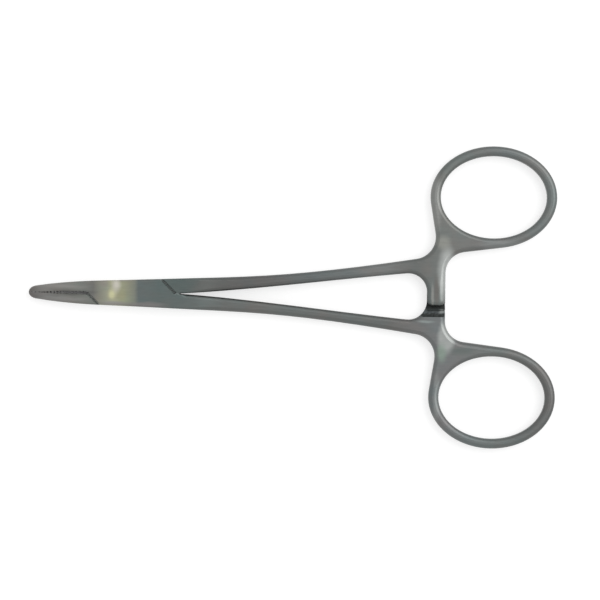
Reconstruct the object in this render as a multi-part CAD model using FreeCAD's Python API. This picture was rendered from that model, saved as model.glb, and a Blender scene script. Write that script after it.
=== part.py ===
import FreeCAD, Part
import math
import os

from FreeCAD import Vector

# Ring-handled needle holder with a box lock, a side-by-side ratchet and cross-cut jaws.
# It is three pieces of stainless steel. The box half runs from the lower finger ring to the upper jaw
# and carries a slot. The through half runs from the upper ring to the lower jaw, and its thin waist
# passes through that slot. A flush pin holds the waist in the box, and the jaws open about it.
# Frame: the origin is on the pin's axis at the underside of the box, where the tool lies on a table.
# +X runs from the pin to the finger rings, +Y towards the through half's ring, +Z up. Millimetres.

overall_length = 130.0

# Lengths along the tool, from the pin
jaw_reach = 25.3  # to the tip of the jaws
jaw_base = 12.5  # back to where the jaw's flank starts to taper
jaw_taper_start = 9.0  # back to where the jaw starts to thin
lock_reach = 10.7  # to each slanted seam of the lock, on the middle line
crotch = 11.4  # to where the two shanks part
box_end = 12.0  # to where the flank starts to bow out
flat_end = 13.5  # to where the box's flat faces start to ramp down
ramp_length = 10.0

# Widths, from the middle line
nose_length = 2.3
nose_half_width = 1.65
jaw_base_half_width = 2.78
box_half_width = 3.27
box_end_half_width = 3.74
ring_root_offset = 10.5  # flank of the shank where it meets the ring
ring_y = 24.7  # middle of each finger ring

# Shank
shank_bow = 1.7  # power of the flank's outward bow
shank_width_near_box = 2.85
shank_width_near_ring = 2.75
shank_width_at_root = 4.0

# Finger rings
ring_opening_length = 26.2
ring_opening_width = 20.3
ring_end_width = 2.5
ring_side_width = 2.4

# Thicknesses
box_thickness = 4.2
shank_thickness = 3.2
nose_thickness = 2.0
waist_thickness = 1.5
waist_side_clearance = 0.05

# Rounding of the long edges, and of the outline's inside corners
nose_rounding = 0.85
box_rounding = 0.45
shank_rounding = 1.0
arm_rounding = 1.3  # on the arm's outer edge, which faces away from the shanks
ring_root_fillet = 5.5
arm_root_fillet = 4.6
ring_foot_fillet = 5.2
crotch_fillet = 0.9

# Box lock
seam_slant = 45.0
seam_gap = 0.3
seam_bevel = 0.22
waist_end_clearance = 0.08
stop_angle = 66.0  # degrees of opening at which the waist meets the box
pin_radius = 1.25
pin_head_radius = 1.65
pin_head_depth = 0.35
pin_running_clearance = 0.03

# Jaw faces
grip_gap = 0.02
grip_relief = 0.22
relief_start = 20.5  # from the pin, where the grip faces start to stand apart
relief_full = 17.0
heel_length = 3.2  # the through half's jaw is eased off further towards the seam
heel_drop = 0.3
grip_length = 12.0
groove_pitch = 0.6
groove_width = 0.44
groove_depth = 0.11

# Ratchet arms
arm_width = 4.5
arm_set_back = 0.6
arm_length = 2.3  # past the middle line
arm_tip_rounding = 1.5
arm_step = 5.0  # from the middle line to where the shank is whole again
tooth_pitch = 1.6
tooth_depth = 0.6
tooth_count = 5
arm_face_clearance = 0.03

middle = box_thickness / 2
ring_a = ring_opening_length / 2 + ring_end_width
ring_b = ring_opening_width / 2 + ring_side_width
ring_x = overall_length - jaw_reach - ring_a
arm_left = ring_x - ring_a - arm_set_back
arm_right = arm_left + arm_width
shank_run = arm_right - box_end
far_out = 9.0  # wider than the box, for tools that cut right across it
overrun = 1.0  # how far other tools run out past the part
tiny = 0.01  # differences below this count as none
stop_corner = box_half_width * math.tan(math.radians(stop_angle / 2))
wall_slant = math.atan2(box_half_width, lock_reach - stop_corner)


def line(p, q):
    return Part.LineSegment(p, q).toShape()


def polygon(points):
    ring = [Vector(x, y, 0) for x, y in points]
    return Part.Face(Part.makePolygon(ring + ring[:1]))


def face(edges):
    return Part.Face(Part.Wire(Part.__sortEdges__(edges)))


def block(x0, x1, y0, y1, z0, z1):
    return Part.makeBox(x1 - x0, y1 - y0, z1 - z0, Vector(x0, y0, z0))


def tangent_point(centre, a, b, outside, turn):
    """Where a tangent from a point outside touches an ellipse. turn picks one of the two."""
    px = (outside.x - centre.x) / a
    py = (outside.y - centre.y) / b
    angle = math.atan2(py, px) + turn * math.acos(1 / math.hypot(px, py))
    return Vector(centre.x + a * math.cos(angle), centre.y + b * math.sin(angle), 0)


def flank_y(x):
    share = (x - box_end) / shank_run
    return box_end_half_width + (ring_root_offset - box_end_half_width) * share**shank_bow


def half_outline():
    """Flat outline from the tip to the ring's root, between the middle line and the flank."""
    nose_centre = Vector(nose_length - jaw_reach, 0, 0)
    base = Vector(-jaw_base, jaw_base_half_width, 0)
    start = tangent_point(nose_centre, nose_length, nose_half_width, base, 1)
    nose = Part.Ellipse(nose_centre, nose_length, nose_half_width)
    nose_edge = Part.ArcOfEllipse(nose, nose.parameter(start), math.pi).toShape()
    points = [start, base, Vector(0, box_half_width, 0), Vector(box_end, box_end_half_width, 0)]
    for share in (1 / 3, 2 / 3, 1):
        x = box_end + share * shank_run
        points.append(Vector(x, flank_y(x), 0))
    flank = Part.BSplineCurve()
    flank.interpolate(points)
    foot = Vector(arm_right, 0, 0)
    tip = Vector(-jaw_reach, 0, 0)
    return face([nose_edge, flank.toShape(), line(points[-1], foot), line(foot, tip)])


def gap_between_shanks():
    points = [Vector(crotch, 0, 0)]
    widths = (shank_width_near_box, shank_width_near_ring, shank_width_at_root)
    for share, width in zip((1 / 3, 2 / 3, 1), widths):
        x = box_end + share * shank_run
        points.append(Vector(x, flank_y(x) - width, 0))
    inner = Part.BSplineCurve()
    inner.interpolate(points)
    foot = Vector(arm_right, 0, 0)
    return face([inner.toShape(), line(points[-1], foot), line(foot, points[0])])


def web_shoulder():
    x = (arm_left + arm_right) / 2 + arm_set_back
    return x, flank_y(x)


def ring_outline():
    """Finger ring with the web that joins it to the shank, hole left out."""
    centre = Vector(ring_x, ring_y, 0)
    disc = Part.Face(Part.Wire(Part.Ellipse(centre, ring_a, ring_b).toShape()))
    shoulder = Vector(*web_shoulder())
    foot = Vector(arm_right, ring_root_offset, 0)
    left = tangent_point(centre, ring_a, ring_b, shoulder, -1)
    right = tangent_point(centre, ring_a, ring_b, foot, 1)
    web = polygon([(p.x, p.y) for p in (shoulder, left, centre, right, foot)])
    return disc.fuse(web)


def upright(flat):
    """A flat outline drawn out to more than the tool's thickness."""
    return flat.extrude(Vector(0, 0, box_thickness))


def upright_edges(solid, places):
    """The edges along Z nearest to the places."""
    edges = [e for e in solid.Edges if e.BoundBox.ZLength > box_thickness / 2 and e.BoundBox.XLength < tiny]
    found = []
    for x, y in places:
        found.append(min(edges, key=lambda e: math.hypot(e.CenterOfMass.x - x, e.CenterOfMass.y - y)))
    return found


def full_outline():
    """Both jaws, the whole box, and the shank, ring and arm on +Y."""
    half = half_outline()
    front = half.common(polygon([(-jaw_reach, -far_out), (crotch, -far_out), (crotch, far_out),
                                 (-jaw_reach, far_out)]))
    front_mirrored = front.mirror(Vector(0, 0, 0), Vector(0, 1, 0))
    root_flank = flank_y(arm_left)
    arm = polygon([(arm_left, -arm_length), (arm_right, -arm_length), (arm_right, ring_root_offset),
                   (arm_left, root_flank - shank_width_at_root / 2)])
    solid = upright(half.cut(gap_between_shanks()))
    solid = solid.fuse([upright(front_mirrored), upright(ring_outline()), upright(arm)]).removeSplitter()
    inner_root = (arm_left, root_flank - shank_width_at_root)
    solid = solid.makeFillet(arm_root_fillet, upright_edges(solid, [inner_root]))
    solid = solid.makeFillet(ring_root_fillet, upright_edges(solid, [web_shoulder()]))
    solid = solid.makeFillet(ring_foot_fillet, upright_edges(solid, [(arm_right, ring_root_offset)]))
    crotch_corners = [(crotch, 0), (crotch, -box_end_half_width)]
    solid = solid.makeFillet(crotch_fillet, upright_edges(solid, crotch_corners))
    arm_tip = [(arm_left, -arm_length), (arm_right, -arm_length)]
    return solid.makeFillet(arm_tip_rounding, upright_edges(solid, arm_tip))


def thickness_profile():
    """Side view: thin jaws, flat box, then a ramp down to the shank and ring."""
    ramp_end = flat_end + ramp_length
    ramp_middle = flat_end + ramp_length / 2
    far = ring_x + ring_a + overrun
    near = -jaw_reach - overrun
    top = box_thickness / 2
    nose = nose_thickness / 2
    shank = shank_thickness / 2
    taper_middle = -(jaw_taper_start + jaw_reach) / 2
    taper = [(near, nose), (taper_middle, top), (-jaw_taper_start, top)]
    ramp = [(flat_end, top), (ramp_middle, top), (ramp_middle, shank), (ramp_end, shank)]
    edges = []
    for side in (1, -1):
        for poles in (taper, ramp):
            curve = Part.BezierCurve()
            curve.setPoles([Vector(x, 0, middle + side * z) for x, z in poles])
            edges.append(curve.toShape())
        box_z = middle + side * top
        shank_z = middle + side * shank
        edges.append(line(Vector(-jaw_taper_start, 0, box_z), Vector(flat_end, 0, box_z)))
        edges.append(line(Vector(ramp_end, 0, shank_z), Vector(far, 0, shank_z)))
    edges.append(line(Vector(near, 0, middle - nose), Vector(near, 0, middle + nose)))
    edges.append(line(Vector(far, 0, middle - shank), Vector(far, 0, middle + shank)))
    width = 2 * (ring_y + ring_b)
    profile = face(edges).extrude(Vector(0, 2 * width, 0))
    profile.translate(Vector(0, -width, 0))
    return profile


def rounding_at(place):
    """Radius of the long edges, which changes along the jaw, along the ramp and below the ring's web."""
    x = place.x
    if x > arm_right - tiny and place.y < ring_y - ring_opening_width / 2:
        share = min((x - arm_right) / (ring_x - arm_right), 1)
        return arm_rounding + (shank_rounding - arm_rounding) * share
    if x < -jaw_taper_start:
        share = (-jaw_taper_start - x) / (jaw_reach - jaw_taper_start)
        return box_rounding + (nose_rounding - box_rounding) * min(share, 1)
    share = min(max((x - flat_end) / ramp_length, 0), 1)
    return box_rounding + (shank_rounding - box_rounding) * share


def is_upright(side):
    u0, u1, v0, v1 = side.ParameterRange
    return abs(side.normalAt((u0 + u1) / 2, (v0 + v1) / 2).z) < tiny


def round_long_edges(solid):
    """Rounds each edge between an upright face and a flat one, with a radius that follows x."""
    edges = []
    for number, edge in enumerate(solid.Edges, 1):
        upright_sides = [f for f in solid.ancestorsOfType(edge, Part.Face) if is_upright(f)]
        if len(upright_sides) == 1:
            start = edge.valueAt(edge.FirstParameter)
            end = edge.valueAt(edge.LastParameter)
            edges.append((number, rounding_at(start), rounding_at(end)))
    document = FreeCAD.newDocument()
    base = document.addObject("Part::Feature")
    base.Shape = solid
    rounded = document.addObject("Part::Fillet")
    rounded.Base = base
    rounded.Edges = edges
    document.recompute()
    return rounded.Shape


def blank():
    """The forging before any machining: rounded all round, both jaws still in one."""
    opening = Part.Ellipse(Vector(ring_x, ring_y, 0), ring_opening_length / 2, ring_opening_width / 2)
    hole = upright(Part.Face(Part.Wire(opening.toShape())))
    return round_long_edges(full_outline().common(thickness_profile()).cut(hole))


def on_both_sides(flat):
    """The outline drawn out, and its copy turned half a turn about the pin."""
    tool = upright(flat)
    return [tool, tool.rotated(Vector(0, 0, 0), Vector(0, 0, 1), 180)]


def beside_jaw(slant, clearance):
    """Space of the other half's jaw, up to a wall that rises from the jaw's root at the slant."""
    run = far_out / math.tan(slant)
    shift = clearance / math.sin(slant)
    front = -jaw_reach - overrun
    return polygon([(front, -grip_gap / 2), (shift - lock_reach, -grip_gap / 2),
                    (shift - lock_reach + run, far_out), (front, far_out)])


def relief_at(x):
    """How far the grip face stands back: nothing at the tip, more towards the box."""
    share = (x + relief_start) / (relief_start - relief_full)
    return grip_gap / 2 + grip_relief * min(max(share, 0), 1)


def grip_relief_tool():
    shallow = -relief_at(-relief_start)
    deep = -relief_at(-relief_full)
    return upright(polygon([(-relief_start, overrun), (-relief_start, shallow), (-relief_full, deep),
                            (-lock_reach, deep), (-lock_reach, overrun)]))


def serration_tools():
    """V grooves that cross the grip face at 45 degrees both ways."""
    tools = []
    step = groove_pitch * math.sqrt(2)
    for lean in (1, -1):
        along = Vector(1, 0, lean).normalize()
        across = Vector(1, 0, -lean).normalize()
        for index in range(int(grip_length / step)):
            x = (index + 0.5) * step - jaw_reach
            centre = Vector(x, -relief_at(x), middle) - along * box_thickness
            corners = [centre - across * groove_width / 2, centre + Vector(0, -groove_depth, 0),
                       centre + across * groove_width / 2, centre + Vector(0, groove_depth, 0)]
            groove = Part.Face(Part.makePolygon(corners + corners[:1]))
            tools.append(groove.extrude(along * 2 * box_thickness))
    return tools


def ratchet_tools():
    """Takes the arm down to half thickness, then cuts saw teeth that hold against opening."""
    level = middle + arm_face_clearance
    left = arm_left - arm_root_fillet
    tools = [block(left, arm_right + overrun, -arm_length - overrun, arm_step, 0, level)]
    for index in range(tooth_count):
        y = (index - (tooth_count - 1) / 2) * tooth_pitch
        end = y + tooth_pitch
        corners = [Vector(arm_left, y, level - overrun), Vector(arm_left, y, level + tooth_depth),
                   Vector(arm_left, end, level), Vector(arm_left, end, level - overrun)]
        tooth_space = Part.Face(Part.makePolygon(corners + corners[:1]))
        tools.append(tooth_space.extrude(Vector(arm_width, 0, 0)))
    return tools


def machined_blank():
    """What both halves share: relieved and serrated jaw, and toothed arm."""
    return blank().cut([grip_relief_tool()] + serration_tools() + ratchet_tools())


def turned_over(shape):
    return shape.rotated(Vector(0, 0, middle), Vector(1, 0, 0), 180)


def seam_bevel_tools():
    """V grooves along both slanted seams, on the top and the underside."""
    gap_middle = lock_reach + seam_gap / math.sqrt(2)
    along = Vector(-1, 1, 0).normalize()
    across = Vector(1, 1, 0).normalize() * (seam_gap / 2 + seam_bevel)
    start = Vector(gap_middle, 0, 0)
    corners = [start - across, start + Vector(0, 0, seam_gap / 2 + seam_bevel), start + across]
    lower = Part.Face(Part.makePolygon(corners + corners[:1])).extrude(along * far_out)
    tools = []
    for tool in (lower, lower.mirror(Vector(0, 0, middle), Vector(0, 0, 1))):
        tools += [tool, tool.rotated(Vector(0, 0, 0), Vector(0, 0, 1), 180)]
    return tools


def heel_tool():
    start = -lock_reach - heel_length
    level = -grip_gap / 2 - grip_relief
    return upright(polygon([(start, level), (-lock_reach, level - heel_drop),
                            (-lock_reach, level + grip_relief), (start, level + grip_relief)]))


def through_half(forging):
    """Pockets from both faces leave the waist, whose ends follow the walls of the box's slot."""
    shape = forging.cut(on_both_sides(beside_jaw(wall_slant, waist_end_clearance)) + [heel_tool()])
    reach = lock_reach + seam_gap * math.sqrt(2)
    pocket = polygon([(-reach - far_out, far_out), (reach - far_out, far_out),
                      (reach + far_out, -far_out), (-reach + far_out, -far_out)])
    depth = (box_thickness - waist_thickness) / 2
    for z in (0, box_thickness - depth):
        tool = pocket.extrude(Vector(0, 0, depth))
        tool.translate(Vector(0, 0, z))
        shape = shape.cut(tool)
    hole = Part.makeCylinder(pin_radius + pin_running_clearance, box_thickness)
    return shape.cut([hole] + seam_bevel_tools())


def slot_tool():
    """Slot between two slanted walls, a little thicker than the waist, open at both flanks."""
    start = Vector(-lock_reach, 0, 0)
    along = Vector(math.cos(wall_slant), math.sin(wall_slant), 0)
    near = start - along * far_out
    far = start + along * 2 * far_out
    flat = polygon([(near.x, near.y), (far.x, far.y), (-near.x, -near.y), (-far.x, -far.y)])
    height = waist_thickness + 2 * waist_side_clearance
    tool = flat.extrude(Vector(0, 0, height))
    tool.translate(Vector(0, 0, middle - height / 2))
    return tool


def box_half(forging, pin):
    shape = turned_over(forging.cut(on_both_sides(beside_jaw(math.radians(seam_slant), 0))))
    return shape.cut([slot_tool(), pin] + seam_bevel_tools())


def pivot_pin():
    """Straight pin with a low cone at each end, ground flush with the box."""
    pin = Part.makeCylinder(pin_radius, box_thickness)
    head = Part.makeCone(pin_head_radius, pin_radius, pin_head_depth)
    return pin.fuse([head, turned_over(head)]).removeSplitter()


def build():
    os.makedirs("parts", exist_ok=True)
    forging = machined_blank()
    pin = pivot_pin()
    nodes = {
        "box_half": box_half(forging, pin),
        "through_half": through_half(forging),
        "pivot_pin": pin,
    }
    for name, shape in nodes.items():
        print(name, len(shape.Solids), shape.isValid(), round(shape.Volume, 1), len(shape.Faces))
        shape.exportStep("parts/" + name + ".step")


build()
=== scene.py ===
import math

import bpy
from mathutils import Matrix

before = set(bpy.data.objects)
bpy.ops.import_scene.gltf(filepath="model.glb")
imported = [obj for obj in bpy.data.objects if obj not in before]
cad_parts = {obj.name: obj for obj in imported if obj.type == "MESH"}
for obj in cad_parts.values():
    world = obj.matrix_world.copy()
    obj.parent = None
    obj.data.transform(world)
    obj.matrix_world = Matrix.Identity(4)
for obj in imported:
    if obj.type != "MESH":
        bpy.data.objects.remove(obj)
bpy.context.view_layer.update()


# The box half is one forging of hardened stainless steel: upper jaw, slotted box, lower shank and
# ring, and rear ratchet arm. It was ground to shape and satin finished, so that it doesn't dazzle.
# The middle of the box has a warm yellowish tint, and residue and painted shade darken the
# ratchet's teeth.

mm = 0.001
top, middle = 4.2, 2.1  # heights of the box's upper face and of the tool's middle, in mm


def linear(code):
    """An sRGB hex colour as the linear values that a node takes."""
    parts = [int(code[i:i + 2], 16) / 255 for i in (1, 3, 5)]
    return [c / 12.92 if c <= 0.04045 else ((c + 0.055) / 1.055) ** 2.4 for c in parts] + [1.0]


def add(tree, kind, inputs=(), **settings):
    """Adds one node. inputs gives each socket, by name or number, a value or another node's
    output."""
    made = tree.nodes.new(kind)
    for key, value in settings.items():
        setattr(made, key, value)
    for socket, value in dict(inputs).items():
        if isinstance(value, bpy.types.NodeSocket):
            tree.links.new(value, made.inputs[socket])
        else:
            made.inputs[socket].default_value = value
    return made


def shades_along(tree, value, stops):
    """The colour at a place, from stops of (millimetres, colour)."""
    first, last = stops[0][0], stops[-1][0]
    share = add(tree, "ShaderNodeMapRange",
                {"Value": value, "From Min": first * mm, "From Max": last * mm})
    ramp = add(tree, "ShaderNodeValToRGB", {0: share.outputs[0]})
    while len(ramp.color_ramp.elements) < len(stops):
        ramp.color_ramp.elements.new(0.5)
    for element, (place, code) in zip(ramp.color_ramp.elements, stops):
        element.position = (place - first) / (last - first)
        element.color = linear(code)
    return ramp.outputs["Color"]


def patch(tree, place, centre, reach, core):
    """1 in the core of a rounded patch, fading to 0 at its rim. Centre and reach are in
    millimetres, and the core is a share of the reach."""
    away = add(tree, "ShaderNodeVectorMath", {0: place, 1: [c * mm for c in centre]},
               operation="SUBTRACT")
    scaled = add(tree, "ShaderNodeVectorMath",
                 {0: away.outputs[0], 1: [1 / (r * mm) for r in reach]}, operation="MULTIPLY")
    far = add(tree, "ShaderNodeVectorMath", {0: scaled.outputs[0]}, operation="LENGTH")
    fade = add(tree, "ShaderNodeMapRange",
               {"Value": far.outputs["Value"], "From Min": core, "From Max": 1.0,
                "To Min": 1.0, "To Max": 0.0}, interpolation_type="SMOOTHSTEP")
    return fade.outputs[0]


def satin_stainless_steel(name, stops, patches, soot_and_shade):
    """Satin stainless steel: a soft grey sheen with no sharp reflections, clouded by handling and
    sterilising, with a fine grain that runs the length of the tool. stops gives the shade at
    places along the tool, patches its tints, painted highlights and painted shade as (colour,
    strength, centre, reach, core), and the last argument the colour across the ratchet's teeth,
    residue with painted shade."""
    steel = bpy.data.materials.new(name)
    steel.use_nodes = True
    tree = steel.node_tree
    tree.nodes.clear()
    place = add(tree, "ShaderNodeTexCoord").outputs["Object"]
    apart = add(tree, "ShaderNodeSeparateXYZ", {0: place})

    # Clouds, longer than wide, move the shades along the tool and turn them warmer or cooler.
    cloud_size, cloud_shift = 6 * mm, 2 * mm
    cooler, warmer = (0.93, 1.0, 1.0, 1.0), (1.05, 0.99, 0.97, 1.0)
    flat_place = add(tree, "ShaderNodeVectorMath", {0: place, 1: (0.6, 1.0, 1.0)},
                     operation="MULTIPLY")
    cloud = add(tree, "ShaderNodeTexNoise", {"Vector": flat_place.outputs[0],
                                             "Scale": 1 / cloud_size, "Detail": 3.0,
                                             "Roughness": 0.6})
    drift = add(tree, "ShaderNodeMath",
                {0: cloud.outputs["Fac"], 1: cloud_shift, 2: apart.outputs["X"]},
                operation="MULTIPLY_ADD")
    centred = add(tree, "ShaderNodeMath", {0: drift.outputs[0], 1: cloud_shift / 2},
                  operation="SUBTRACT")
    warm = add(tree, "ShaderNodeMapRange",
               {"Value": cloud.outputs["Fac"], "From Min": 0.35, "From Max": 0.65})
    cast = add(tree, "ShaderNodeMix", {0: warm.outputs[0], 6: cooler, 7: warmer},
               data_type="RGBA")
    colour = add(tree, "ShaderNodeVectorMath",
                 {0: shades_along(tree, centred.outputs[0], stops), 1: cast.outputs[2]},
                 operation="MULTIPLY").outputs[0]

    # They also make the rims of all that lies on the steel uneven.
    rim_shift = 1.5 * mm
    wobble = add(tree, "ShaderNodeVectorMath", {0: cloud.outputs["Color"], 1: (0.5, 0.5, 0.5)},
                 operation="SUBTRACT")
    shifted = add(tree, "ShaderNodeVectorMath",
                  {0: wobble.outputs[0], 1: [rim_shift] * 3, 2: place},
                  operation="MULTIPLY_ADD").outputs[0]

    # Residue and painted shade on the ratchet's teeth and in the corner beside them, speckled,
    # with ragged rims. The shade is painted in the gap under the front arm's tip, on the end of
    # that tip and in the valleys of the teeth.
    speckle_size, speckle_shift = 0.6 * mm, 0.9 * mm
    teeth = patch(tree, shifted, (74.6, 0, middle), (5.6, 6.3, 1.15), 0.88)
    speckle = add(tree, "ShaderNodeTexNoise",
                  {"Vector": place, "Scale": 1 / speckle_size, "Detail": 2.0})
    ragged = add(tree, "ShaderNodeMath",
                 {0: speckle.outputs["Fac"], 1: speckle_shift, 2: apart.outputs["Y"]},
                 operation="MULTIPLY_ADD")
    uneven = add(tree, "ShaderNodeMath", {0: speckle.outputs["Fac"], 1: 1.4, 2: 0.3},
                 operation="MULTIPLY_ADD")
    black = add(tree, "ShaderNodeVectorMath",
                {0: shades_along(tree, ragged.outputs[0], soot_and_shade), "Scale": uneven.outputs[0]},
                operation="SCALE")
    layers = [(teeth, black.outputs[0])]

    # Tints, lighter places, painted highlights and painted shade.
    for code, strength, centre, reach, core in patches:
        inside = patch(tree, shifted, centre, reach, core)
        share = add(tree, "ShaderNodeMath", {0: inside, 1: strength}, operation="MULTIPLY")
        layers.append((share.outputs[0], linear(code)))

    # The lock's two seams slant at 45 degrees, so X + Y is the same all along each. Their bevels
    # and floors are painted lighter than the faces beside them, painted light that lifts the shade
    # in the narrow gaps.
    seam_place, seam_reach, seam_painted_light = 10.9 * mm, 0.4 * mm, 0.27
    across = add(tree, "ShaderNodeVectorMath", {0: place, 1: (1.0, 1.0, 0.0)},
                 operation="DOT_PRODUCT")
    from_pin = add(tree, "ShaderNodeMath", {0: across.outputs["Value"]}, operation="ABSOLUTE")
    on_line = add(tree, "ShaderNodeMath", {0: from_pin.outputs[0], 1: seam_place, 2: seam_reach},
                  operation="COMPARE")
    along = add(tree, "ShaderNodeMath", {0: apart.outputs["X"]}, operation="ABSOLUTE")
    in_lock = add(tree, "ShaderNodeMath", {0: along.outputs[0], 1: seam_place},
                  operation="LESS_THAN")
    on_seam = add(tree, "ShaderNodeMath", {0: on_line.outputs[0], 1: in_lock.outputs[0]},
                  operation="MULTIPLY")
    share = add(tree, "ShaderNodeMath", {0: on_seam.outputs[0], 1: seam_painted_light},
                operation="MULTIPLY")
    layers.append((share.outputs[0], linear("#a7abaa")))

    # Each layer covers those before it. A colour mix takes its share and colours at 0, 6 and 7.
    for share, shade in layers:
        colour = add(tree, "ShaderNodeMix", {0: share, 6: colour, 7: shade},
                     data_type="RGBA").outputs[2]

    # The real grain is about 0.05 mm wide, too fine to show, so it is drawn coarser.
    grain_width, grain_relief = 0.35 * mm, 0.02 * mm
    long_place = add(tree, "ShaderNodeVectorMath", {0: place, 1: (0.12, 1.0, 1.0)},
                     operation="MULTIPLY")
    grain = add(tree, "ShaderNodeTexNoise",
                {"Vector": long_place.outputs[0], "Scale": 1 / grain_width, "Detail": 2.0})
    light_lines = add(tree, "ShaderNodeMapRange",
                      {"Value": grain.outputs["Fac"], "From Min": 0.3, "From Max": 0.7,
                       "To Min": 0.955, "To Max": 1.045})
    lined = add(tree, "ShaderNodeVectorMath", {0: colour, "Scale": light_lines.outputs[0]},
                operation="SCALE")
    matt_lines = add(tree, "ShaderNodeMapRange",
                     {"Value": grain.outputs["Fac"], "From Min": 0.3, "From Max": 0.7,
                      "To Min": 0.36, "To Max": 0.48})
    relief = add(tree, "ShaderNodeBump",
                 {"Height": grain.outputs["Fac"], "Strength": 0.25, "Distance": grain_relief})

    # The residue is duller than the steel.
    dull = add(tree, "ShaderNodeMath", {0: teeth, 1: 0.3, 2: matt_lines.outputs[0]},
               operation="MULTIPLY_ADD")
    surface = add(tree, "ShaderNodeBsdfPrincipled",
                  {"Base Color": lined.outputs[0], "Metallic": 1.0,
                   "Roughness": dull.outputs[0], "Normal": relief.outputs[0]})
    add(tree, "ShaderNodeOutputMaterial", {"Surface": surface.outputs[0]})
    return steel


box_half_shades = [
    (-26, "#5c5c5b"), (-21, "#7c7c7a"), (-14, "#7c7b77"), (-9.5, "#6f6d6a"),  # jaw
    (-6.5, "#8d8c7e"), (-5, "#9b9a84"), (-2, "#8e8f7a"), (-0.5, "#848576"),  # warm yellowish band
    (0.9, "#777971"), (1.7, "#606767"), (7, "#5d6564"),  # rest of the box
    (30, "#666867"), (64, "#636463"), (77, "#6c6e6f"),  # shank and ratchet arm
    (90, "#696c6b"), (106, "#606161"),  # ring
]
box_half_tints_and_painted_light = [
    # A painted highlight along the jaw, and painted shade along the edge of its grip, standing in
    # for its rounding into the slit.
    ("#878582", 0.7, (-18, 1.5, top), (9, 0.7, 30), 0.2),
    ("#494847", 0.5, (-15, 0, top), (9, 1.3, 30), 0.0),
    ("#3d3d3c", 0.3, (-14.2, -0.1, top), (6.5, 0.8, 30), 0.2),
    # The box's flanks, and warm yellowish, bright yellow and whitish blooms between them.
    ("#817e7a", 0.6, (-3.5, 3.7, top), (5, 1.1, 10), 0.5),
    ("#878483", 0.8, (-4.4, -2.7, top), (4.2, 0.9, 10), 0.3),
    ("#827c78", 0.5, (-6.8, 2.5, top), (1.8, 1.8, 10), 0.2),
    ("#8f8e72", 0.5, (-2.3, -0.6, top), (1.6, 2.4, 6), 0.2),
    ("#b0af91", 0.9, (-4.6, -0.2, top), (1.5, 2.0, 5), 0.2),
    ("#b9b894", 0.9, (-4.7, -0.4, top), (0.9, 1.3, 5), 0.3),
    ("#c3bfb6", 0.85, (-3.7, 2.0, top), (1.7, 2.5, 5), 0.0),
    ("#767372", 0.8, (3.0, -2.9, top), (7.5, 1.0, 10), 0.3),
    # The shank's end, the neck and the ring's near side are lighter, and a painted highlight runs
    # down the rounded right side below the arm.
    ("#8d9593", 0.6, (72.6, -6.0, top), (3.0, 0.5, 30), 0.2),
    ("#959896", 0.9, (77.8, -9.8, 2), (2.8, 5.2, 20), 0.5),
    ("#7d8b81", 0.8, (76.6, -13.8, top), (1.8, 3.4, 30), 0.2),
    ("#8f9391", 0.35, (75.5, -25.0, top), (1.3, 9.5, 30), 0.3),
    # A painted highlight on a tooth's crest at the end of the teeth, and the darker web of the
    # ring.
    ("#aaaeac", 0.9, (76.5, -3.7, middle), (1.2, 0.7, 1.3), 0.3),
    ("#56615e", 0.5, (81.5, -13.4, top), (4.5, 1.6, 30), 0.2),
]
# Residue and painted shade across the rear arm's teeth: the dark bands are the painted shadow
# under the front arm's tip and the painted shade in the valleys.
box_half_soot_and_shade = [
    (-4.95, "#676968"), (-4.65, "#3c3f3e"), (-3.85, "#484b4a"), (-3.45, "#5f6466"),
    (-2.85, "#575c5b"), (-2.45, "#3f4241"), (-1, "#3e4140"), (5, "#5d605f"),
]
box_steel = satin_stainless_steel("satin_stainless_steel_box_half", box_half_shades,
                                  box_half_tints_and_painted_light, box_half_soot_and_shade)
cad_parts["box_half"].material_slots[0].material = box_steel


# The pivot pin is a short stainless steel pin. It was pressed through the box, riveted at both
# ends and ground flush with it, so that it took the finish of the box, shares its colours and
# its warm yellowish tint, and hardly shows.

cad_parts["pivot_pin"].material_slots[0].material = box_steel


# The through half is the second forging, of the same steel: lower jaw, the waist inside the box,
# upper shank and ring, and front ratchet arm. The arm's rounded right side carries a painted
# highlight where it faces the light.

through_half_shades = [
    (-26, "#5f5f5e"), (-21, "#777675"), (-14, "#777773"),  # jaw
    (6, "#5a6260"), (17, "#5a5f5e"), (30, "#5e5f5f"), (50, "#676969"), (62, "#707272"),  # shank
    (70, "#636564"), (77, "#6c6e6c"), (90, "#6b6d6d"), (106, "#6c6e6d"),  # arm and ring
]
through_half_tints_and_painted_light = [
    # A painted highlight along the jaw, and painted shade along the edge of its grip, standing in
    # for its rounding into the slit.
    ("#81807e", 0.8, (-17, -1.6, top), (9, 0.6, 30), 0.2),
    ("#494847", 0.5, (-15, 0, top), (9, 1.3, 30), 0.0),
    ("#3d3d3c", 0.3, (-14.2, -0.1, top), (6.5, 0.8, 30), 0.2),
    # The arm, with a painted highlight on its rounded right side, a warm middle and a light left
    # edge.
    ("#959896", 0.95, (77.9, 5.2, 2), (3.2, 9.0, 20), 0.5),
    ("#c6c8c6", 0.35, (77.9, 5.0, 2), (1.9, 7.6, 20), 0.2),
    ("#65625f", 0.8, (75.0, 1.4, top), (1.0, 5.0, 30), 0.3),
    ("#918f8b", 0.5, (74.0, 0.0, top), (0.5, 4.4, 30), 0.3),
    # The neck, the ring's near side and the web.
    ("#898a84", 0.7, (76.8, 13.4, top), (2.6, 2.6, 30), 0.2),
    ("#888987", 0.65, (74.5, 23.0, top), (2.3, 11.0, 30), 0.4),
    ("#7c7f7e", 0.6, (92.0, 13.0, top), (8.0, 1.6, 30), 0.4),
]
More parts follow.
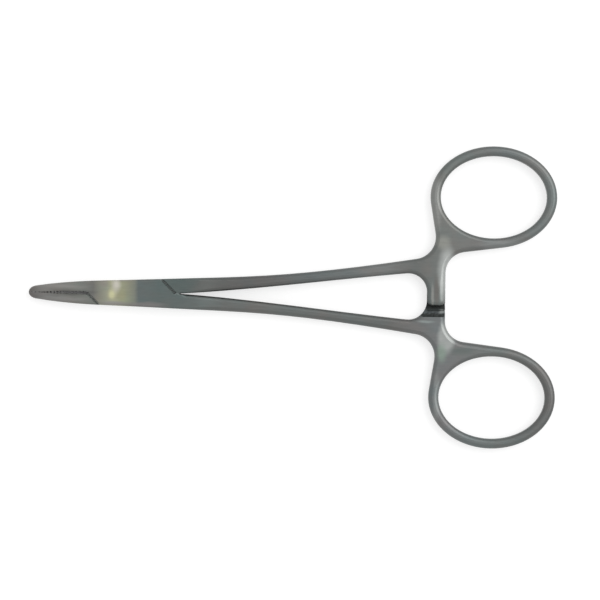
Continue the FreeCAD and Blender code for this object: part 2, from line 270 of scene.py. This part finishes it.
# Residue on the front arm's teeth, and painted shade on the end of its tip.
through_half_soot_and_shade = [(-5, "#2e3030"), (-1.65, "#393c3b"), (-1.15, "#676968"), (5, "#676968")]
through_steel = satin_stainless_steel("satin_stainless_steel_through_half", through_half_shades,
                                      through_half_tints_and_painted_light, through_half_soot_and_shade)
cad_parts["through_half"].material_slots[0].material = through_steel


# The table is a matt white card that the tool lies on. To the camera it glows a little, so that
# it shows as plain white with a faint shadow. It gives the tool no more light than a card would.

def seen(tree):
    """1 where the camera sees a place, straight or by way of a gloss or glass, and 0 for the
    light that the place gives."""
    ray = add(tree, "ShaderNodeLightPath")
    glossy = add(tree, "ShaderNodeMath",
                 {0: ray.outputs["Is Camera Ray"], 1: ray.outputs["Is Glossy Ray"]},
                 operation="ADD")
    return add(tree, "ShaderNodeMath",
               {0: glossy.outputs[0], 1: ray.outputs["Is Transmission Ray"]},
               operation="ADD").outputs[0]


table = bpy.data.materials.new("matt_white_card")
table.use_nodes = True
tree = table.node_tree
tree.nodes.clear()
card = add(tree, "ShaderNodeBsdfDiffuse", {"Color": linear("#bcbcbc")})

# The slit between the jaws is dim, and the gap between the shanks shows the card from its narrow
# end on, so the openness that the glow needs counts only as far as the box.
openness = add(tree, "ShaderNodeAmbientOcclusion", {"Distance": 4 * mm})
apart = add(tree, "ShaderNodeSeparateXYZ",
            {0: add(tree, "ShaderNodeTexCoord").outputs["Object"]})
past_box = add(tree, "ShaderNodeMapRange",
               {"Value": apart.outputs["X"], "From Min": 6 * mm, "From Max": 12 * mm,
                "To Min": 0.0, "To Max": 0.3})
bare = add(tree, "ShaderNodeMath", {0: openness.outputs["AO"], 1: past_box.outputs[0]},
           operation="ADD")
clear = add(tree, "ShaderNodeMapRange",
            {"Value": bare.outputs[0], "From Min": 0.14, "From Max": 0.26,
             "To Min": 0.075, "To Max": 1.0})
glow_level = add(tree, "ShaderNodeMath", {0: seen(tree), 1: clear.outputs[0]},
                 operation="MULTIPLY")
glow = add(tree, "ShaderNodeEmission",
           {"Color": linear("#cccccc"), "Strength": glow_level.outputs[0]})
shown = add(tree, "ShaderNodeAddShader", {0: card.outputs[0], 1: glow.outputs[0]})
add(tree, "ShaderNodeOutputMaterial", {"Surface": shown.outputs[0]})

half_width = 2
floor_mesh = bpy.data.meshes.new("table")
floor_mesh.from_pydata([(-half_width, -half_width, 0), (half_width, -half_width, 0),
                        (half_width, half_width, 0), (-half_width, half_width, 0)],
                       [], [(0, 1, 2, 3)])
floor_mesh.materials.append(table)
floor = bpy.data.objects.new("table", floor_mesh)
bpy.context.scene.collection.objects.link(floor)


# The light is soft, even studio light from all round, with a wide soft box overhead on the right.
# The air gives less light than it shows, so that the backdrop is plain white.

world = bpy.data.worlds.new("studio")
bpy.context.scene.world = world
world.use_nodes = True
tree = world.node_tree
tree.nodes.clear()
air_level = add(tree, "ShaderNodeMapRange", {"Value": seen(tree), "To Min": 0.82, "To Max": 1.0})
air = add(tree, "ShaderNodeBackground",
          {"Color": linear("#ffffff"), "Strength": air_level.outputs[0]})
add(tree, "ShaderNodeOutputWorld", {"Surface": air.outputs[0]})

lamp = bpy.data.lights.new("soft_box", "AREA")
lamp.shape = "SQUARE"
lamp.size = 0.9
lamp.energy = 4
soft_box = bpy.data.objects.new("soft_box", lamp)
soft_box.location = (0.6, 0.3, 0.7)
soft_box.rotation_euler = (math.radians(-20), math.radians(38), 0)
bpy.context.scene.collection.objects.link(soft_box)


# The camera looks straight down from far off with a long lens, turned a little so that the tool
# lies as in the picture.

view_width = 0.148
view_centre = (0.0416, -0.0012)
view_turn = math.radians(0.70)
distance = 0.9
camera_data = bpy.data.cameras.new("camera")
camera_data.lens = camera_data.sensor_width * distance / view_width
camera = bpy.data.objects.new("camera", camera_data)
camera.location = (view_centre[0], view_centre[1], middle * mm + distance)
camera.rotation_euler = (0, 0, view_turn)
bpy.context.scene.collection.objects.link(camera)
bpy.context.scene.camera = camera
bpy.context.scene.view_settings.view_transform = "Standard"
